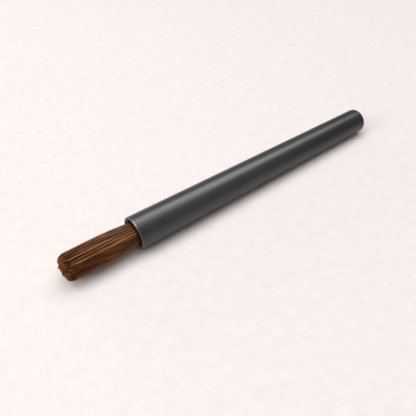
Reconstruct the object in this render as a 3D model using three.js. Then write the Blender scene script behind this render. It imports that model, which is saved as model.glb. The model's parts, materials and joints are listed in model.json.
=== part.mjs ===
// A calligraphy brush lying on its side: a tapered metal tube, closed at the rear, with a bound and glued
// tuft of brown hair in its mouth. Millimetres, +Z up. The tuft points to -X and the closed end to +X.
//
// Every piece is turned about the brush's own axis. Places along that axis are measured from the plane
// of the mouth, positive towards the closed end, so the free hair lies at negative places.
import * as THREE from 'three';

// Handle tube
const MOUTH_RADIUS = 6.5; // outside, at the mouth
const REAR_RADIUS = 5.23; // outside, where the taper would reach the closed end
const HANDLE_LENGTH = 122;
const DOME_LENGTH = 2.6; // of the rounded rear end
const RIM_ROUNDING = 0.49;
const BORE_CHAMFER = 0.8; // leaves a thin edge at the mouth
const SOCKET_RADIUS = 5.17; // the wide bore that the tuft stands in
const SOCKET_DEPTH = 24;
const CHANNEL_RADIUS = 3.4; // the narrower bore behind it, which lightens the tube
const CHANNEL_END = 108;

// Free hair
const TUFT_LENGTH = 28.68; // in front of the mouth
const NECK_RADIUS = 4.46; // of the tuft, in the plane of the mouth
const BELLY_RADIUS = 5.27; // of the tuft, from the flare's end to the tip
const FLARE_LENGTH = 14.8;
const TIP_DOME_LENGTH = 4.1;
const TIP_DOME_POWER = 2.8; // 2 would be an ellipse, and more is blunter
const CORE_RADIUS = 2.4;
const BEND_PLACE = -1; // the hair bends about this point, just in front of the mouth

// Held hair, its bindings, the cup and the resin
const ROOT_FRONT = 3.8;
const ROOT_REAR = 18.2;
const ROOT_FRONT_RADIUS = 4.25;
const ROOT_RADIUS = 3.2; // where it is bound
const ROOT_TAPER_END = 6.6;
const CORE_ROOT_RADIUS = 1.6;
const CORE_BINDING_RADIUS = 2.15;
const THREAD = 0.4; // diameter of both binding threads
const BINDING_FRONT = 9;
const BINDING_TURNS = 10;
const CUP_FRONT = 6.2;
const CUP_WALL = 0.5;
const CUP_FLOOR = 1.5;
const RESIN_FRONT = 18.5;

const GAP = 0.25; // kept between pieces that touch on the real brush
const SIDES = 32; // flats round every turned piece; one of them faces down
const ARC_STEPS = 6;
const THREAD_STEPS = 3;

// The tube rests along its underside, so its tapering makes the axis drop towards the closed end.
const TILT = Math.atan2(MOUTH_RADIUS - REAR_RADIUS, HANDLE_LENGTH);
const BALL_RADIUS = flareRadius(BEND_PLACE);

/** Radius of the free hair at a place between the mouth and the end of its flare. */
function flareRadius(place) {
  const share = Math.min(-place / FLARE_LENGTH, 1);
  return NECK_RADIUS + (BELLY_RADIUS - NECK_RADIUS) * Math.sin((share * Math.PI) / 2);
}

/** Outside radius of the tube at a place behind the mouth. */
function tubeRadius(place) {
  return MOUTH_RADIUS + ((REAR_RADIUS - MOUTH_RADIUS) * place) / HANDLE_LENGTH;
}

/** Calls make with count + 1 values spread evenly from 0 to 1. */
function steps(count, make) {
  return Array.from({ length: count + 1 }, (_, i) => make(i / count));
}

/**
 * A solid turned about the brush's axis. The outline's points are [place, radius]. It starts and ends on the
 * axis, or closes on itself, and the outside is followed towards the closed end. Each radius is to a flat.
 */
function turned(outline) {
  const toCorner = 1 / Math.cos(Math.PI / SIDES);
  const points = outline.map(([place, radius]) => new THREE.Vector2(radius * toCorner, place));
  return new THREE.LatheGeometry(points, SIDES, Math.PI / SIDES).rotateZ(-Math.PI / 2);
}

/** Closes an outline that doesn't touch the axis. */
function ring(outline) {
  return turned([...outline, outline[0]]);
}

function disc(front, rear, radius) {
  return turned([[front, 0], [front, radius], [rear, radius], [rear, 0]]);
}

function handleTube() {
  const rim = steps(ARC_STEPS, (t) => {
    const angle = (t * Math.PI) / 2;
    return [
      RIM_ROUNDING * (1 - Math.cos(angle)),
      tubeRadius(RIM_ROUNDING) - RIM_ROUNDING * (1 - Math.sin(angle)),
    ];
  });
  const domeStart = HANDLE_LENGTH - DOME_LENGTH;
  const dome = steps(ARC_STEPS, (t) => {
    const angle = (t * Math.PI) / 2;
    return [domeStart + DOME_LENGTH * Math.sin(angle), tubeRadius(domeStart) * Math.cos(angle)];
  }).slice(0, -1);
  return turned([
    [CHANNEL_END, 0],
    [CHANNEL_END, CHANNEL_RADIUS],
    [SOCKET_DEPTH, CHANNEL_RADIUS],
    [SOCKET_DEPTH, SOCKET_RADIUS],
    [BORE_CHAMFER, SOCKET_RADIUS],
    [0, SOCKET_RADIUS + BORE_CHAMFER],
    ...rim,
    ...dome,
    [HANDLE_LENGTH, 0],
  ]);
}

function socketCup() {
  const outside = SOCKET_RADIUS - GAP;
  const inside = outside - CUP_WALL;
  const rear = SOCKET_DEPTH - GAP;
  return turned([
    [rear - CUP_FLOOR, 0],
    [rear - CUP_FLOOR, inside],
    [CUP_FRONT, inside],
    [CUP_FRONT, outside],
    [rear, outside],
    [rear, 0],
  ]);
}

function rootResin() {
  const inside = SOCKET_RADIUS - GAP - CUP_WALL;
  return disc(RESIN_FRONT, SOCKET_DEPTH - GAP - CUP_FLOOR - GAP, inside - GAP);
}

/** Turns of thread side by side: a ring with a ridge for each turn. */
function binding(insideRadius) {
  const threadRadius = THREAD / 2;
  const ridges = [];
  for (let turn = 0; turn < BINDING_TURNS; turn += 1) {
    const middle = BINDING_FRONT + THREAD * (turn + 0.5);
    for (let step = 0; step < THREAD_STEPS; step += 1) {
      const angle = (Math.PI * step) / THREAD_STEPS;
      ridges.push([
        middle - threadRadius * Math.cos(angle),
        insideRadius + threadRadius * (1 + Math.sin(angle)),
      ]);
    }
  }
  const rear = BINDING_FRONT + THREAD * BINDING_TURNS;
  return ring([
    [BINDING_FRONT, insideRadius],
    ...ridges,
    [rear, insideRadius + threadRadius],
    [rear, insideRadius],
  ]);
}

/** The bound part of the outer hair, which spreads at its front towards the width of the free hair. */
function outerHairRoot() {
  const inside = CORE_BINDING_RADIUS + THREAD + GAP;
  return ring([
    [ROOT_FRONT, inside],
    [ROOT_FRONT, ROOT_FRONT_RADIUS],
    [ROOT_TAPER_END, ROOT_RADIUS + GAP],
    [BINDING_FRONT, ROOT_RADIUS],
    [ROOT_REAR, ROOT_RADIUS],
    [ROOT_REAR, inside],
  ]);
}

/** Place on the tip's dome at a radius. */
function tipPlace(radius) {
  const share = Math.min(radius / BELLY_RADIUS, 1);
  const rise = (1 - share ** TIP_DOME_POWER) ** (1 / TIP_DOME_POWER);
  return -(TUFT_LENGTH - TIP_DOME_LENGTH) - TIP_DOME_LENGTH * rise;
}

/** Place on the ball that ends the free hair inside the mouth, centred where the hair bends. */
function ballPlace(radius) {
  return BEND_PLACE + Math.sqrt(Math.max(BALL_RADIUS ** 2 - radius ** 2, 0));
}

/** The dome and the ball between two radii, spaced evenly by angle so that the round edges stay smooth. */
function arcRadii(from, to, largest) {
  const start = Math.asin(from / largest);
  const end = Math.asin(to / largest);
  return steps(ARC_STEPS, (t) => largest * Math.sin(start + (end - start) * t));
}

function outerHair() {
  const inside = CORE_RADIUS + GAP;
  const dome = arcRadii(inside, BELLY_RADIUS, BELLY_RADIUS).map((radius) => [tipPlace(radius), radius]);
  const flare = steps(ARC_STEPS, (t) => {
    const place = -FLARE_LENGTH + (FLARE_LENGTH + BEND_PLACE) * t;
    return [place, flareRadius(place)];
  });
  const ball = arcRadii(BALL_RADIUS, inside, BALL_RADIUS).map((radius) => [ballPlace(radius), radius]);
  return ring([...dome, ...flare.slice(0, -1), ...ball]);
}

function coreHair() {
  const dome = steps(ARC_STEPS, (t) => [tipPlace(CORE_RADIUS * t), CORE_RADIUS * t]);
  const ball = steps(ARC_STEPS, (t) => [ballPlace(CORE_RADIUS * (1 - t)), CORE_RADIUS * (1 - t)]);
  return turned([...dome, ...ball]);
}

const charcoal = new THREE.MeshStandardMaterial({ color: 0x3a3b3d, metalness: 0.6, roughness: 0.42 });
const blackPlastic = new THREE.MeshStandardMaterial({ color: 0x161616, metalness: 0, roughness: 0.5 });
const resin = new THREE.MeshStandardMaterial({ color: 0x6b3a12, metalness: 0, roughness: 0.25 });
const thread = new THREE.MeshStandardMaterial({ color: 0xb9a98a, metalness: 0, roughness: 0.85 });
const hair = new THREE.MeshStandardMaterial({ color: 0x5e3c24, metalness: 0, roughness: 0.6 });
const coreHairBrown = new THREE.MeshStandardMaterial({ color: 0x4c2f1b, metalness: 0, roughness: 0.6 });

function piece(name, geometry, material) {
  const mesh = new THREE.Mesh(geometry, material);
  mesh.name = name;
  return mesh;
}

const held = new THREE.Group();
held.add(
  piece('handle_tube', handleTube(), charcoal),
  piece('socket_cup', socketCup(), blackPlastic),
  piece('root_resin', rootResin(), resin),
  piece('root_binding', binding(ROOT_RADIUS + GAP), thread),
  piece('core_binding', binding(CORE_BINDING_RADIUS), thread),
  piece('outer_hair_root', outerHairRoot(), hair),
  piece('core_hair_root', disc(ROOT_FRONT, ROOT_REAR, CORE_ROOT_RADIUS), coreHairBrown),
);

const tuft = new THREE.Group();
tuft.add(
  piece('outer_hair', outerHair(), hair),
  piece('core_hair', coreHair(), coreHairBrown),
);

// The tilt is made about the mouth's centre, which is one mouth radius above the surface.
const brush = new THREE.Group();
brush.rotation.y = TILT;
brush.add(held, tuft);

const part = new THREE.Group();
part.add(brush);

// The origin is the middle of the bounding box's bottom.
const box = new THREE.Box3().setFromObject(part, true);
brush.position.set(-(box.min.x + box.max.x) / 2, 0, -box.min.z);

export default part;
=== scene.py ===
# A calligraphy brush lying on pale paper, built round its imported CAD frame. Metres, +Z up.
import json
import math

import bpy
import numpy as np
from mathutils import Matrix, Vector


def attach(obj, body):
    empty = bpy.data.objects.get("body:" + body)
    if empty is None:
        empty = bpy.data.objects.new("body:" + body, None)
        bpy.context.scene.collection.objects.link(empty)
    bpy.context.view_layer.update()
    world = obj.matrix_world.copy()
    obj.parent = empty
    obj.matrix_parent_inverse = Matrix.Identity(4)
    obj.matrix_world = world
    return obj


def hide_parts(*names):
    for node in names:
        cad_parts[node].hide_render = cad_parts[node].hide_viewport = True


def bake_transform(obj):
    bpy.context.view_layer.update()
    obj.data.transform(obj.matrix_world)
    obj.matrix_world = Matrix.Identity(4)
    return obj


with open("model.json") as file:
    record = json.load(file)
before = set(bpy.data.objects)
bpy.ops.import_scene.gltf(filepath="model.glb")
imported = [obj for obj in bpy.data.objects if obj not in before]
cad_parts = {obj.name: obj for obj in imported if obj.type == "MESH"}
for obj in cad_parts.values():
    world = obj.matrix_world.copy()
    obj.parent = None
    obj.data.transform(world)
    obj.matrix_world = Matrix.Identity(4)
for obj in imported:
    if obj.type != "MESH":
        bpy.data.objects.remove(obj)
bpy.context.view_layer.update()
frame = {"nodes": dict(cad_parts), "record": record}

MM = 0.001

# The brush's own measures, in millimetres. Places along its axis are measured from the plane of the mouth,
# positive towards the closed end, so the free hair lies at negative places.
MOUTH_RADIUS = 6.5
REAR_RADIUS = 5.23
HANDLE_LENGTH = 122
DOME_LENGTH = 2.6
RIM_ROUNDING = 0.49
BORE_CHAMFER = 0.8
SOCKET_RADIUS = 5.17
SOCKET_DEPTH = 24
CHANNEL_RADIUS = 3.4
CHANNEL_END = 108
TUFT_LENGTH = 28.68
NECK_RADIUS = 4.46
BELLY_RADIUS = 5.27
FLARE_LENGTH = 14.8
TIP_DOME_LENGTH = 4.1
TIP_DOME_POWER = 2.8
CORE_RADIUS = 2.4
BEND_PLACE = -1
GAP = 0.25

TILT = math.atan2(MOUTH_RADIUS - REAR_RADIUS, HANDLE_LENGTH)

# Held hair, which narrows from the mouth towards its bound root
ROOT_FRONT = 3.8
ROOT_FRONT_RADIUS = 4.2
ROOT_TAPER_END = 6.6
ROOT_TAPER_END_RADIUS = 3.35
BINDING_FRONT = 9
ROOT_RADIUS = 3.15
ROOT_REAR = 18.2
CORE_TAPER_START = 2
CORE_ROOT_RADIUS = 1.6

# Tube's finish
TUBE_SEGMENTS = 160
RIM_SUPPORT = 0.8 # place of an extra ring, which keeps the rim's shading off the tube's side
SIDE_MARGIN = 3 # from the mouth and the dome to the evenly spaced rings
SHARP_ANGLE = 50 # degrees, from which an edge is shaded as sharp
BORE_MARGIN = 0.3 # points this near the outside are not in the bore
REAR_FADE_START = 0.2 # share of the tube's length, from which painted shade darkens it towards the rear
# share of the way to near black that the painted shade takes the tube at its rear
REAR_PAINTED_SHADE = 0.42
HIGHLIGHT_TURN = -12 # degrees from the top of the mouth to the middle of the painted highlight on its edge
HIGHLIGHT_SPREAD = 14
HIGHLIGHT_FLOOR = 0.04 # share of the painted highlight that the whole edge has

# Hair. Lengths are in millimetres. A tone of 0 is the darkest hair and 0.8 the palest.
HAIR_SEED = 8
HAIR_RADIUS = 0.125
HAIR_SIDES = 5
HAIR_END_WIDTH = 0.7 # share of a hair's width, at its end
HAIR_END_STEP = 0.3 # from a hair's last ring but one to its end
LOCKS = 30 # the grooves between them run to the tip
LOCK_BEGINNINGS = (2, 20) # range of the distances in front of the mouth where they begin
LOCK_WIDTHS = (0.17, 0.3) # range of their half widths
LOCK_DEPTHS = (0.3, 0.8)
MINOR_GROOVES = 150
MINOR_BEGINNINGS = (-22, 4) # range of the places where they begin
MINOR_WIDTHS = (0.12, 0.21)
MINOR_DEPTHS = (0.25, 0.75)
MINOR_LENGTHS = (5, 14)
GROOVE_START = 7 # length over which a groove deepens
GROOVE_FINISH = 4 # length over which it ends
WISPS = 78
WISP_HAIRS = 4
WISP_TONE = 0.49
WISP_TONE_SCATTER = 0.11
HAIR_TONE_SCATTER = 0.17 # of a hair's own tone, within its wisp
UNDER_TONE = 0.5
CORE_TONE = 0.42
END_TONE = 0.52
UNDER_LAYERS = ((0.45, 150), (0.75, 130)) # depth and count of the hairs under the outermost ones
UNDER_GROOVES = 0.3 # share of the grooves' depth that reaches them
DEPTH_PAINTED_SHADE = 0.8 # taken off the tone of hair 1 mm below the tuft's outside, as painted shade
TIP_INSET = 0.28 # how far most hairs stop short of the tuft's longest ones
TIP_SCATTER = 0.1 # how far the ends of neighbouring hairs differ
SHORT_SHARE = 0.2 # of the wisps, which stop well short of the tip
SHORTENINGS = (0.5, 2.2)
PALE_SHARE = 0.09 # of the outermost hairs, which are paler than the rest
PALING = 0.3 # added to their tone
CLUSTER_SPACING = 0.74 # between the clusters of hair ends on the tip
CLUSTER_SCATTER = 0.16 # how far clusters stand out or lie back
CLUSTER_PAINTED_SHADING = 0.25 # painted light and shade: added to the tone for each millimetre that they stand out
CLUSTER_HAIRS = 7
OUTER_ENDS = (CORE_RADIUS + 0.4, BELLY_RADIUS - 0.58) # radii between which the clusters' centres lie
CORE_ENDS = (0, CORE_RADIUS - 0.3)
CLUSTER_ATTEMPTS = 6000 # places that are tried for a cluster
END_HAIR_ROOT = -20 # where the short hairs of the tip begin
END_HAIR_SPREAD = -23 # where they have spread to their full distance from the axis
END_HAIR_GATHERING = 0.78 # share of that distance, where they begin
END_HAIR_FADE = 1.6 # length over which painted shade darkens them behind their ends
END_HAIR_PAINTED_SHADE = 0.5
BODY_SEGMENTS = 48
BODY_INSET = 1.0 # of the body, painted dark as shade, that fills the tuft between its hairs
BODY_NARROWING = 0.3 # of its domed end
BODY_WALL = 0.4 # the least thickness of the outer hair's body
NECK_SHADE = (-9, 0) # painted shade makes the hair a little darker between these places
NECK_PAINTED_SHADE = 0.1
MOUTH_SHADE = (-0.8, 0.1) # and painted shade turns it fully dark between these, as it enters the mouth
ROOT_PALING = (2, 5) # and that painted shade fades again from here, towards its bound root
GOLDEN_MARGIN = 2 # the hair's colour changes along the free hair, apart from this much at either end
CORE_HAIRS = 96 # on the side of the core
CORE_INSET = 0.2 # of those hairs, from the core's radius
CORE_BODY_INSET = 0.5 # of the core's own body, painted dark as shade
CORE_ROOT_INSET = 0.3 # of that body, where the core is bound

# Camera, fitted to the photograph's viewing angle
CAMERA_FROM_MOUTH = (-56.37, -118.18, 144.85) # millimetres from the floor below the mouth's centre
CAMERA_AZIMUTH = -37.43
CAMERA_ELEVATION = 44.35
CAMERA_LENS = 45
SENSOR_WIDTH = 36

# Stage, in metres
LIGHT_DISTANCE = 1.4
PAPER_REACH = 3.0 # from the paper's middle to its edges


# Placing

joint = frame["record"]["behaviour"]["joints"][0]
brush_turn = Matrix.Rotation(TILT, 4, "Y")
bend_point = Vector(joint["pos_m"])
mouth_centre = bend_point - brush_turn @ Vector((BEND_PLACE * MM, 0, 0))
BRUSH_TO_ROW = Matrix.Translation(mouth_centre) @ brush_turn @ Matrix.Scale(MM, 4)


# Helpers

def smooth(x, low, high):
    """0 below low, 1 above high, and a smooth rise between them."""
    t = np.clip((x - low) / (high - low), 0, 1)
    return t * t * (3 - 2 * t)


def direction(azimuth, elevation):
    """The direction at these degrees. Azimuth 0 is -Y, on the camera's side, and 90 is +X."""
    a, e = math.radians(azimuth), math.radians(elevation)
    return Vector((math.sin(a) * math.cos(e), -math.cos(a) * math.cos(e), math.sin(e)))


def add_object(name, data):
    item = bpy.data.objects.new(name, data)
    bpy.context.scene.collection.objects.link(item)
    return item


def aim_from(item, back):
    """Turns a light or a camera so that it looks along the opposite of a direction."""
    item.rotation_mode = "QUATERNION"
    item.rotation_quaternion = back.to_track_quat("Z", "Y")


def add_piece(name, points, faces, material, attributes=None):
    """A mesh object whose points are given in the brush's own millimetres.

    attributes are lists of one number for each point.
    """
    mesh = bpy.data.meshes.new(name)
    mesh.from_pydata([tuple(p) for p in points], [], faces)
    mesh.transform(BRUSH_TO_ROW)
    mesh.shade_smooth()
    for label, values in (attributes or {}).items():
        mesh.attributes.new(label, "FLOAT", "POINT").data.foreach_set("value", values)
    mesh.materials.append(material)
    return add_object(name, mesh)


# Materials

def new_material(name):
    """A material, its node tree and its shader."""
    material = bpy.data.materials.new(name)
    material.use_nodes = True
    tree = material.node_tree
    return material, tree, tree.nodes["Principled BSDF"]


def add_node(tree, kind, **values):
    """A node with its named inputs and properties set."""
    node = tree.nodes.new(kind)
    for key, value in values.items():
        if key in node.inputs:
            node.inputs[key].default_value = value
        else:
            setattr(node, key, value)
    return node


def row_coordinates(tree, stretch=(1, 1, 1)):
    """The piece's own coordinates in metres, stretched along the axes."""
    coordinates = add_node(tree, "ShaderNodeTexCoord")
    mapping = add_node(tree, "ShaderNodeMapping", Scale=stretch)
    tree.links.new(coordinates.outputs["Object"], mapping.inputs["Vector"])
    return mapping.outputs["Vector"]


def noise(tree, vector, scale, detail, roughness=0.5):
    node = add_node(tree, "ShaderNodeTexNoise", Scale=scale, Detail=detail, Roughness=roughness)
    tree.links.new(vector, node.inputs["Vector"])
    return node.outputs["Fac"]


def ramp(tree, factor, stops):
    """A colour ramp from (position, colour) pairs."""
    node = add_node(tree, "ShaderNodeValToRGB")
    elements = node.color_ramp.elements
    while len(elements) < len(stops):
        elements.new(0.5)
    for element, (position, colour) in zip(elements, stops):
        element.position = position
        element.color = (*colour, 1)
    tree.links.new(factor, node.inputs["Fac"])
    return node.outputs["Color"]


def spread(tree, factor, low, high):
    """Maps a noise's middle range, 0.3 to 0.7, onto low to high."""
    node = add_node(tree, "ShaderNodeMapRange")
    node.inputs["From Min"].default_value = 0.3
    node.inputs["From Max"].default_value = 0.7
    node.inputs["To Min"].default_value = low
    node.inputs["To Max"].default_value = high
    tree.links.new(factor, node.inputs["Value"])
    return node.outputs["Result"]


def math_node(tree, operation, first, second):
    node = add_node(tree, "ShaderNodeMath", operation=operation)
    for socket, value in zip(node.inputs, (first, second)):
        if isinstance(value, (int, float)):
            socket.default_value = value
        else:
            tree.links.new(value, socket)
    return node.outputs["Value"]


def average(tree, first, second):
    halves = [math_node(tree, "MULTIPLY", value, 0.5) for value in (first, second)]
    return math_node(tree, "ADD", *halves)


def mix_colours(tree, factor, first, second):
    node = add_node(tree, "ShaderNodeMix", data_type="RGBA")
    for socket, value in ((node.inputs[0], factor), (node.inputs[6], first), (node.inputs[7], second)):
        if isinstance(value, tuple):
            socket.default_value = (*value, 1)
        elif isinstance(value, (int, float)):
            socket.default_value = value
        else:
            tree.links.new(value, socket)
    return node.outputs[2]


def bump(tree, shader, height, distance, strength=1.0):
    """Raises the surface by up to a distance, in metres, where height is 1."""
    node = add_node(tree, "ShaderNodeBump", Strength=strength, Distance=distance)
    tree.links.new(height, node.inputs["Height"])
    tree.links.new(node.outputs["Normal"], shader.inputs["Normal"])


def attribute(tree, label):
    """A number that the mesh holds for each of its points."""
    return add_node(tree, "ShaderNodeAttribute", attribute_name=label).outputs["Fac"]


def charcoal_tube_material():
    """Satin charcoal with speckle and faint streaks, with painted shade darkening the rear and the bore,
    and a pale painted highlight on the mouth's edge.
    """
    material, tree, shader = new_material("charcoal_tube")
    fine = noise(tree, row_coordinates(tree), scale=5200, detail=3)
    cloudy = noise(tree, row_coordinates(tree), scale=90, detail=4)
    streaks = noise(tree, row_coordinates(tree, stretch=(0.03, 1, 1)), scale=2600, detail=3)
    mottle = average(tree, fine, cloudy)
    body = ramp(tree, mottle, [(0.3, (0.036, 0.0378, 0.0385)), (0.7, (0.0538, 0.0554, 0.0563))])
    inside = attribute(tree, "inside")
    # Painted shade: the bore is near black.
    bore = ramp(tree, fine, [(0.3, (0.006, 0.0062, 0.0064)), (0.7, (0.012, 0.0122, 0.0125))])
    # Painted shade: the tube gets darker towards its rear.
    rear_shade = math_node(tree, "MULTIPLY", attribute(tree, "rear"), REAR_PAINTED_SHADE)
    rear_shaded = mix_colours(tree, rear_shade, body, (0.004, 0.0042, 0.0043))
    painted = mix_colours(tree, inside, rear_shaded, bore)
    # A pale painted highlight on the mouth's rounded edge, where the light glints.
    edge_highlight = math_node(tree, "MULTIPLY", attribute(tree, "edge_highlight"), spread(tree, fine, low=0.5, high=1.0))
    highlight_pale = (0.62, 0.64, 0.67)
    tree.links.new(mix_colours(tree, edge_highlight, painted, highlight_pale), shader.inputs["Base Color"])
    grain = average(tree, streaks, fine)
    rougher_bore = math_node(tree, "MULTIPLY", inside, 0.3)
    roughness = math_node(tree, "ADD", spread(tree, grain, low=0.29, high=0.36), rougher_bore)
    tree.links.new(roughness, shader.inputs["Roughness"])
    shader.inputs["Specular IOR Level"].default_value = 0.38
    bump(tree, shader, grain, distance=0.00001, strength=0.6)
    return material


def hair_material(name, tint):
    """Brown hair: each hair has its own tone, redder by the mouth and more golden by the tip."""
    material, tree, shader = new_material(name)
    flecks = noise(tree, row_coordinates(tree, stretch=(0.12, 1, 1)), scale=3000, detail=2)
    tone = math_node(tree, "ADD", attribute(tree, "tone"), math_node(tree, "MULTIPLY", flecks, 0.16))
    body = ramp(tree, tone, [
        (0.0, (0.015, 0.006, 0.0016)),
        (0.2, (0.048, 0.0165, 0.004)),
        (0.5, (0.155, 0.055, 0.0155)),
        (0.8, (0.34, 0.155, 0.06)),
    ])
    golden = mix_colours(tree, 1.0, body, tint)
    golden.node.blend_type = "MULTIPLY"
    tree.links.new(mix_colours(tree, attribute(tree, "along"), body, golden), shader.inputs["Base Color"])
    tree.links.new(spread(tree, flecks, low=0.42, high=0.6), shader.inputs["Roughness"])
    shader.inputs["Specular IOR Level"].default_value = 0.13
    bump(tree, shader, flecks, distance=0.00003)
    return material


def plain_material(name, low, high, scale, roughness, depth):
    """A mottled finish between two colours, for the pieces inside the socket."""
    material, tree, shader = new_material(name)
    grain = noise(tree, row_coordinates(tree), scale, detail=4)
    tree.links.new(ramp(tree, grain, [(0.3, low), (0.7, high)]), shader.inputs["Base Color"])
    tree.links.new(spread(tree, grain, *roughness), shader.inputs["Roughness"])
    bump(tree, shader, grain, depth)
    return material


def paper_material():
    """Pale, slightly warm paper with a faint mottle and a soft tooth."""
    material, tree, shader = new_material("paper")
    blotches = noise(tree, row_coordinates(tree), scale=260, detail=3)
    tooth = noise(tree, row_coordinates(tree), scale=2400, detail=4, roughness=0.6)
    colour = ramp(tree, blotches, [(0.3, (0.85, 0.806, 0.787)), (0.7, (0.902, 0.845, 0.842))])
    tree.links.new(colour, shader.inputs["Base Color"])
    shader.inputs["Roughness"].default_value = 0.9
    shader.inputs["Specular IOR Level"].default_value = 0.1
    bump(tree, shader, tooth, distance=0.00006, strength=0.5)
    return material


# Handle tube

def quarter(count):
    """Sines and cosines over a quarter turn."""
    return [(math.sin(t), math.cos(t)) for t in np.linspace(0, math.pi / 2, count)]


def tube_radius(place):
    """The tube's outside radius at a place."""
    return MOUTH_RADIUS + (REAR_RADIUS - MOUTH_RADIUS) * place / HANDLE_LENGTH


def lathe(profile, segments):
    """Points and faces turned about the axis from (place, radius) pairs. A radius of 0 is a pole."""
    points, rings, faces = [], [], []
    for place, radius in profile:
        count = segments if radius > 0 else 1
        turn = [2 * math.pi * i / segments for i in range(count)]
        rings.append([len(points) + i for i in range(count)])
        points += [(place, radius * math.sin(a), radius * math.cos(a)) for a in turn]
    for first, second in zip(rings, rings[1:]):
        for i in range(segments):
            j = (i + 1) % segments
            here = (first[i % len(first)], second[i % len(second)])
            beside = (second[j % len(second)], first[j % len(first)])
            faces.append(list(dict.fromkeys(here + beside)))
    return points, faces


def tube_profile():
    """The tube's half section, from the bottom of its bore out through the mouth and back over the dome."""
    # The bevel's points stop just short of its outer end, where the rim begins.
    bevel = [
        (BORE_CHAMFER * (1 - t), SOCKET_RADIUS + BORE_CHAMFER * t) for t in np.linspace(0, 0.95, 6)
    ]
    edge = SOCKET_RADIUS + BORE_CHAMFER
    rim = [
        (RIM_ROUNDING * (1 - c), edge + (tube_radius(RIM_ROUNDING) - edge) * s) for s, c in quarter(14)
    ]
    dome_start = HANDLE_LENGTH - DOME_LENGTH
    even = np.linspace(SIDE_MARGIN, dome_start - SIDE_MARGIN, 24)
    sides = [(place, tube_radius(place)) for place in (RIM_SUPPORT, *even)]
    dome = [
        (dome_start + DOME_LENGTH * s, tube_radius(dome_start) * c) for s, c in quarter(20)
    ][:-1]
    return [
        (CHANNEL_END, 0),
        (CHANNEL_END, CHANNEL_RADIUS),
        (SOCKET_DEPTH, CHANNEL_RADIUS),
        (SOCKET_DEPTH, SOCKET_RADIUS),
        *bevel,
        *rim,
        *sides,
        *dome,
        (HANDLE_LENGTH, 0),
    ]


def inside_share(point):
    """1 in the bore and fading to 0 over its bevel, and 0 on the outside: where painted shade darkens the
    tube and it gets rougher.
    """
    place, across, up = point
    outside = math.hypot(across, up) > tube_radius(place) - BORE_MARGIN or place > CHANNEL_END
    return 0.0 if outside else float(smooth(place, BORE_CHAMFER / 2, BORE_CHAMFER))


def edge_painted_highlight(point):
    """A pale painted highlight on the mouth's rounded edge, strongest on one side of its top, where the
    light glints.
    """
    place, across, up = point
    if place > RIM_ROUNDING or math.hypot(across, up) < SOCKET_RADIUS + BORE_CHAMFER:
        return 0.0
    turn = math.degrees(math.atan2(across, up)) - HIGHLIGHT_TURN
    around = HIGHLIGHT_FLOOR + (1 - HIGHLIGHT_FLOOR) * math.exp(-((turn / HIGHLIGHT_SPREAD) ** 2))
    return math.sin(math.pi * place / RIM_ROUNDING) * around


def make_handle():
    points, faces = lathe(tube_profile(), TUBE_SEGMENTS)
    attributes = {
        # painted shade in the bore
        "inside": [inside_share(p) for p in points],
        # painted highlight on the mouth's edge
        "edge_highlight": [edge_painted_highlight(p) for p in points],
        # painted shade, darker towards the tube's rear
        "rear": [float(smooth(p[0], HANDLE_LENGTH * REAR_FADE_START, HANDLE_LENGTH)) for p in points],
    }
    tube = add_piece("handle_tube_finished", points, faces, charcoal_tube_material(), attributes)
    tube.data.set_sharp_from_angle(angle=math.radians(SHARP_ANGLE))
    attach(tube, "handle")
    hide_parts("handle_tube")


# Hair

def tuft_radius(places):
    """The tuft's outside radius at places along the axis, from its bound root to its belly."""
    places = np.asarray(places, float)
    share = np.clip(-places / FLARE_LENGTH, 0, 1)
    free = NECK_RADIUS + (BELLY_RADIUS - NECK_RADIUS) * np.sin(share * math.pi / 2)
    held = np.interp(
        places,
        [0, ROOT_FRONT, ROOT_TAPER_END, BINDING_FRONT],
        [NECK_RADIUS, ROOT_FRONT_RADIUS, ROOT_TAPER_END_RADIUS, ROOT_RADIUS],
    )
    return np.where(places > 0, held, free)


def tip_place(radius):
    """Where the domed end of the tuft lies at a radius."""
    share = np.minimum(np.asarray(radius) / BELLY_RADIUS, 1)
    rise = (1 - share**TIP_DOME_POWER) ** (1 / TIP_DOME_POWER)
    return -(TUFT_LENGTH - TIP_DOME_LENGTH) - TIP_DOME_LENGTH * rise


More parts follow.
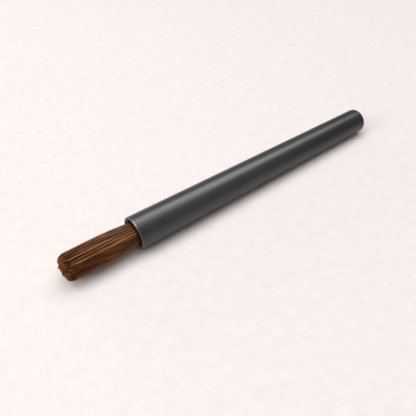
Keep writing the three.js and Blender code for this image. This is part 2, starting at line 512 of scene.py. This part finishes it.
class Strands:
    """Collects hairs as closed tubes, with a tone and a place along the tuft for every point."""

    def __init__(self):
        self.points, self.faces, self.tone, self.along = [], [], [], []

    def add(self, places, angles, depths, tone, fade=None):
        """One hair through the given places, at an angle and a depth below the tuft's outside at each.

        Deeper hair is painted darker, as shade, and the last argument, when given, replaces that painted
        shade by its own. Painted shade also darkens all hair as it enters the mouth.
        """
        start, rings = len(self.points), len(places)
        widths = np.full(rings, HAIR_RADIUS)
        widths[-1] *= HAIR_END_WIDTH
        radii = tuft_radius(places) - HAIR_RADIUS - depths
        # Painted shade, darker with depth.
        depth_shade = DEPTH_PAINTED_SHADE * np.clip(depths, 0, 1) if fade is None else fade
        around = np.arange(HAIR_SIDES) * 2 * math.pi / HAIR_SIDES
        for place, angle, radius, thick in zip(places, angles, radii, widths):
            outward = np.array([0, math.sin(angle), math.cos(angle)])
            sideways = np.array([0, math.cos(angle), -math.sin(angle)])
            centre = np.array([place, 0, 0]) + outward * radius
            for turn in around:
                self.points.append(centre + thick * (math.cos(turn) * outward + math.sin(turn) * sideways))
        for ring in range(rings - 1):
            for side in range(HAIR_SIDES):
                a = start + ring * HAIR_SIDES + side
                b = start + ring * HAIR_SIDES + (side + 1) % HAIR_SIDES
                self.faces.append([a, b, b + HAIR_SIDES, a + HAIR_SIDES])
        self.faces.append([start + side for side in reversed(range(HAIR_SIDES))])
        last = start + (rings - 1) * HAIR_SIDES
        self.faces.append([last + side for side in range(HAIR_SIDES)])
        # Painted shade where the hair enters the mouth, fading again towards the root.
        shade = 1 - smooth(places, *MOUTH_SHADE) * (1 - smooth(places, *ROOT_PALING))
        along = smooth(-places, GOLDEN_MARGIN, TUFT_LENGTH - GOLDEN_MARGIN)
        self.tone += np.repeat((tone - depth_shade) * shade, HAIR_SIDES).tolist()
        self.along += np.repeat(along, HAIR_SIDES).tolist()

    def add_body(self, profile, tone):
        """A closed body under the hairs, painted dark as the shade between them, so that nothing shows
        between them.
        """
        start = len(self.points)
        points, faces = lathe(profile, BODY_SEGMENTS)
        self.points += [np.array(p) for p in points]
        self.faces += [[start + i for i in face] for face in faces]
        self.tone += [tone] * len(points)
        self.along += [0.0] * len(points)

    def piece(self, name, material):
        return add_piece(name, self.points, self.faces, material, {"tone": self.tone, "along": self.along})


# The places of a hair's rings: its held part, the mouth, where they lie closest, and the free hair.
HAIR_STEPS = (
    ROOT_REAR, 13, BINDING_FRONT, ROOT_TAPER_END, ROOT_FRONT, 1.2,
    -0.3, -0.9, -1.5, -2.8,
    -5, -8, -11, -14, -17, -20, -22.5, -24,
)
# The last three rings follow from each hair's own end, and these are typical.
HAIR_PLACES = np.array([*HAIR_STEPS, -25, -26, -27])


def full_places(end):
    """Places for a hair from its root to its end."""
    return np.array([*HAIR_STEPS, (HAIR_STEPS[-1] + end) / 2, end + HAIR_END_STEP, end])


def make_grooves(rng):
    """Grooves in the tuft's side: centre angle, width, depth, and the places where they begin and end."""
    grooves = []
    beyond_tip = -TUFT_LENGTH - 20
    for lock in range(LOCKS):
        centre = 2 * math.pi * (lock + rng.uniform(-0.32, 0.32)) / LOCKS
        begin = -rng.uniform(*LOCK_BEGINNINGS)
        width = rng.uniform(*LOCK_WIDTHS)
        depth = rng.uniform(*LOCK_DEPTHS)
        grooves.append((centre, width, depth, begin, beyond_tip))
    for _ in range(MINOR_GROOVES):
        begin = rng.uniform(*MINOR_BEGINNINGS)
        length = rng.uniform(*MINOR_LENGTHS)
        centre = rng.uniform(0, 2 * math.pi)
        width = rng.uniform(*MINOR_WIDTHS)
        depth = rng.uniform(*MINOR_DEPTHS)
        grooves.append((centre, width, depth, begin, begin - length))
    return grooves


def groove_depth(grooves, places, angles):
    """How far the grooves lower a hair at these places and angles."""
    depth = np.zeros(len(places))
    for centre, width, deepest, begin, end in grooves:
        apart = ((angles - centre + math.pi) % (2 * math.pi) - math.pi) * BELLY_RADIUS
        run = smooth(begin - places, 0, GROOVE_START) * smooth(places - end, 0, GROOVE_FINISH)
        depth = np.maximum(depth, deepest * run * np.exp(-(apart / width) ** 2))
    return depth


def wave(rng, places, size, shortest, longest):
    """A slow random variation along a hair, whose wavelength over 2 pi is between two lengths."""
    height = rng.normal(0, size)
    stretch = rng.uniform(shortest, longest)
    return height * np.sin(places / stretch + rng.uniform(0, 2 * math.pi))


def add_side_hairs(strands, rng):
    """The hairs that the side of the tuft shows, in wisps, lowered by the grooves between the locks."""
    grooves = make_grooves(rng)
    for wisp in range(WISPS):
        middle_tone = WISP_TONE + rng.normal(0, WISP_TONE_SCATTER)
        wisp_tone = middle_tone + wave(rng, HAIR_PLACES, size=0.13, shortest=1, longest=3)
        # Painted shade, a little darker towards the mouth.
        wisp_tone -= NECK_PAINTED_SHADE * smooth(HAIR_PLACES, *NECK_SHADE)
        wisp_sway = wave(rng, HAIR_PLACES, size=0.012, shortest=3, longest=6)
        wisp_sink = abs(rng.normal(0, 0.05))
        shorter = abs(rng.normal(0, 0.15)) + (rng.random() < SHORT_SHARE) * rng.uniform(*SHORTENINGS)
        for hair in range(WISP_HAIRS):
            middle = 2 * math.pi * (wisp + (hair + 0.5 + rng.normal(0, 0.3)) / WISP_HAIRS) / WISPS
            places = full_places(hair_end(rng, BELLY_RADIUS - HAIR_RADIUS - wisp_sink) + shorter)
            angles = middle + wisp_sway + wave(rng, places, size=0.006, shortest=2, longest=5)
            depths = groove_depth(grooves, places, angles) + wisp_sink + abs(rng.normal(0, 0.03))
            own_tone = rng.normal(-0.02, HAIR_TONE_SCATTER) + (rng.random() < PALE_SHARE) * PALING
            strands.add(places, angles, depths, wisp_tone + own_tone)
    for under, count in UNDER_LAYERS:
        for hair in range(count):
            places = full_places(hair_end(rng, BELLY_RADIUS - HAIR_RADIUS - under))
            middle = 2 * math.pi * (hair + rng.uniform(-0.4, 0.4)) / count
            angles = middle + wave(rng, places, size=0.03, shortest=3, longest=8)
            depths = UNDER_GROOVES * groove_depth(grooves, places, angles) + under + rng.normal(0, 0.04)
            strands.add(places, angles, depths, UNDER_TONE + rng.normal(0, 0.12))


def hair_end(rng, radius):
    """Where a hair at this distance from the axis ends: near the tuft's domed end."""
    return max(float(tip_place(radius)) + TIP_INSET + rng.normal(0, TIP_SCATTER), -TUFT_LENGTH)


def add_end_hairs(strands, rng, low, high):
    """The hair ends that the tip shows between two radii, in small clusters with gaps between them."""
    centres = []
    for _ in range(CLUSTER_ATTEMPTS):
        spot = rng.uniform(-high, high, 2)
        clear = all(math.dist(spot, other) > CLUSTER_SPACING for other in centres)
        if low <= math.hypot(*spot) <= high and clear:
            centres.append(spot)
    for centre in centres:
        level = rng.normal(0, CLUSTER_SCATTER)
        # Painted light and shade: clusters that stand out are paler, those that lie back darker.
        tone = END_TONE - CLUSTER_PAINTED_SHADING * level + rng.normal(0, 0.08)
        turn = rng.uniform(0, 2 * math.pi)
        for hair in range(CLUSTER_HAIRS):
            away = 0 if hair == 0 else HAIR_RADIUS * 2
            around = turn + 2 * math.pi * hair / (CLUSTER_HAIRS - 1)
            spot = centre + away * np.array([math.cos(around), math.sin(around)]) + rng.normal(0, 0.03, 2)
            distance = math.hypot(*spot)
            end = max(hair_end(rng, distance) + level, -TUFT_LENGTH)
            near_end = [end + END_HAIR_FADE, end + END_HAIR_FADE / 2, end + HAIR_END_STEP, end]
            places = np.array([END_HAIR_ROOT, END_HAIR_SPREAD, *near_end])
            angles = np.full(len(places), math.atan2(spot[0], spot[1]))
            gathered = np.interp(places, [END_HAIR_SPREAD, END_HAIR_ROOT], [1, END_HAIR_GATHERING])
            depths = tuft_radius(places) - HAIR_RADIUS - distance * gathered
            # Painted shade behind each hair's end, among its neighbours.
            fade = END_HAIR_PAINTED_SHADE * np.clip((places - end) / END_HAIR_FADE, 0, 1)
            strands.add(places, angles, depths, tone + rng.normal(0, 0.1), fade)


def body_dome(low, high, count=7):
    """The tip's dome between two radii, moved inwards."""
    radii = np.linspace(low, high, count)
    return [(float(tip_place(r + BODY_NARROWING)) + BODY_INSET, float(r)) for r in radii]


def sleeve_profile(inside):
    """A closed ring section that follows the tuft, under its outermost hairs."""
    places = HAIR_STEPS[:-1]
    outer = [(float(p), float(tuft_radius(p)) - BODY_INSET) for p in places[::-1]]
    inner = [(float(p), min(inside, float(tuft_radius(p)) - BODY_INSET - BODY_WALL)) for p in places]
    dome = body_dome(inside, BELLY_RADIUS - BODY_INSET)
    return [*outer, *inner, *dome, outer[0]]


def make_outer_hair():
    rng = np.random.default_rng(HAIR_SEED)
    strands = Strands()
    # The body is painted as dark as the hair gets, as the shade between the hairs.
    strands.add_body(sleeve_profile(CORE_RADIUS + GAP), tone=0.0)
    add_side_hairs(strands, rng)
    add_end_hairs(strands, rng, *OUTER_ENDS)
    hair = strands.piece("outer_hair_strands", hair_material("outer_hair", tint=(1.0, 0.86, 0.62)))
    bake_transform(hair)
    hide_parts("outer_hair", "outer_hair_root")


def core_radius(places):
    """The core's outside radius at places along the axis, from its bound root to the tip."""
    radii = [CORE_RADIUS - CORE_INSET, CORE_ROOT_RADIUS]
    return np.interp(places, [CORE_TAPER_START, ROOT_TAPER_END], radii)


def add_core_hairs(strands, rng):
    """The hairs on the core's side, which the outer hair covers."""
    for hair in range(CORE_HAIRS):
        places = full_places(hair_end(rng, CORE_RADIUS))
        middle = 2 * math.pi * (hair + rng.uniform(-0.4, 0.4)) / CORE_HAIRS
        angles = middle + wave(rng, places, size=0.04, shortest=3, longest=8)
        sink = abs(rng.normal(0, 0.07))
        depths = tuft_radius(places) - core_radius(places) + sink
        # Painted shade: hairs sunk into the core are darker.
        strands.add(places, angles, depths, CORE_TONE + rng.normal(0, 0.13), fade=2 * sink)


def make_core_hair():
    rng = np.random.default_rng(HAIR_SEED + 1)
    strands = Strands()
    radius = CORE_RADIUS - CORE_BODY_INSET
    root = CORE_ROOT_RADIUS - CORE_ROOT_INSET
    core = [
        *body_dome(0, radius),
        (CORE_TAPER_START, radius),
        (ROOT_TAPER_END, root),
        (ROOT_REAR, root),
        (ROOT_REAR, 0),
    ]
    # The body is painted as dark as the hair gets, as the shade between the hairs.
    strands.add_body(core, tone=0.0)
    add_core_hairs(strands, rng)
    add_end_hairs(strands, rng, *CORE_ENDS)
    hair = strands.piece("core_hair_strands", hair_material("core_hair", tint=(1.0, 0.84, 0.6)))
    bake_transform(hair)
    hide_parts("core_hair", "core_hair_root")


# Pieces inside the socket, which keep their CAD shape

def finish_inner_pieces():
    black = plain_material(
        "black_cup",
        low=(0.006, 0.006, 0.006),
        high=(0.014, 0.014, 0.015),
        scale=1800,
        roughness=(0.45, 0.6),
        depth=0.00002,
    )
    amber = plain_material(
        "amber_resin",
        low=(0.13, 0.045, 0.01),
        high=(0.22, 0.085, 0.022),
        scale=700,
        roughness=(0.2, 0.35),
        depth=0.00004,
    )
    cotton = plain_material(
        "thread",
        low=(0.33, 0.27, 0.18),
        high=(0.5, 0.43, 0.31),
        scale=5000,
        roughness=(0.8, 0.95),
        depth=0.00004,
    )
    finishes = {"socket_cup": black, "root_resin": amber, "root_binding": cotton, "core_binding": cotton}
    for node, material in finishes.items():
        piece = frame["nodes"][node]
        for slot in piece.material_slots:
            slot.material = material


# Stage

def make_paper():
    mesh = bpy.data.meshes.new("paper")
    signs = ((-1, -1), (1, -1), (1, 1), (-1, 1))
    corners = [(x * PAPER_REACH, y * PAPER_REACH, 0) for x, y in signs]
    mesh.from_pydata(corners, [], [(0, 1, 2, 3)])
    mesh.materials.append(paper_material())
    add_object("paper", mesh)


def make_light(name, azimuth, elevation, size, power, width=None):
    """A softbox aimed at the brush. Its size and power are those that it would have one metre away."""
    light = bpy.data.lights.new(name, "AREA")
    light.shape = "RECTANGLE"
    light.energy = power * LIGHT_DISTANCE**2
    light.size = (width or size) * LIGHT_DISTANCE
    light.size_y = size * LIGHT_DISTANCE
    back = direction(azimuth, elevation)
    lamp = add_object(name, light)
    lamp.location = back * LIGHT_DISTANCE
    aim_from(lamp, back)
    return lamp


def make_lights():
    """Softboxes, strongest on the brush's left and back, and a strip that shows in reflections only."""
    make_light("left", azimuth=-95, elevation=27, size=0.43, power=3.2)
    make_light("left_front", azimuth=-67, elevation=45, size=0.43, power=1.35)
    make_light("left_top", azimuth=-118, elevation=66, size=0.57, power=3.6)
    make_light("back", azimuth=112, elevation=68, size=0.85, power=4.7)
    make_light("back_low", azimuth=187, elevation=8, size=0.37, power=1.8)
    make_light("front", azimuth=-15, elevation=68, size=0.7, power=0.8)
    strip = make_light("strip", azimuth=140, elevation=59, size=0.43, power=8.3, width=1.14)
    strip.visible_diffuse = False
    world = bpy.data.worlds.new("room")
    world.use_nodes = True
    background = world.node_tree.nodes["Background"]
    background.inputs["Color"].default_value = (1, 0.86, 0.72, 1)
    background.inputs["Strength"].default_value = 0.12
    bpy.context.scene.world = world


def make_camera():
    camera = bpy.data.cameras.new("camera")
    camera.lens, camera.sensor_width = CAMERA_LENS, SENSOR_WIDTH
    camera.clip_start, camera.clip_end = 0.005, 20
    item = add_object("camera", camera)
    item.location = Vector((mouth_centre.x, mouth_centre.y, 0)) + Vector(CAMERA_FROM_MOUTH) * MM
    aim_from(item, direction(CAMERA_AZIMUTH, CAMERA_ELEVATION))
    bpy.context.scene.camera = item


make_camera()
make_paper()
make_lights()
make_handle()
make_outer_hair()
make_core_hair()
finish_inner_pieces()
bpy.context.scene.view_settings.view_transform = "Standard"
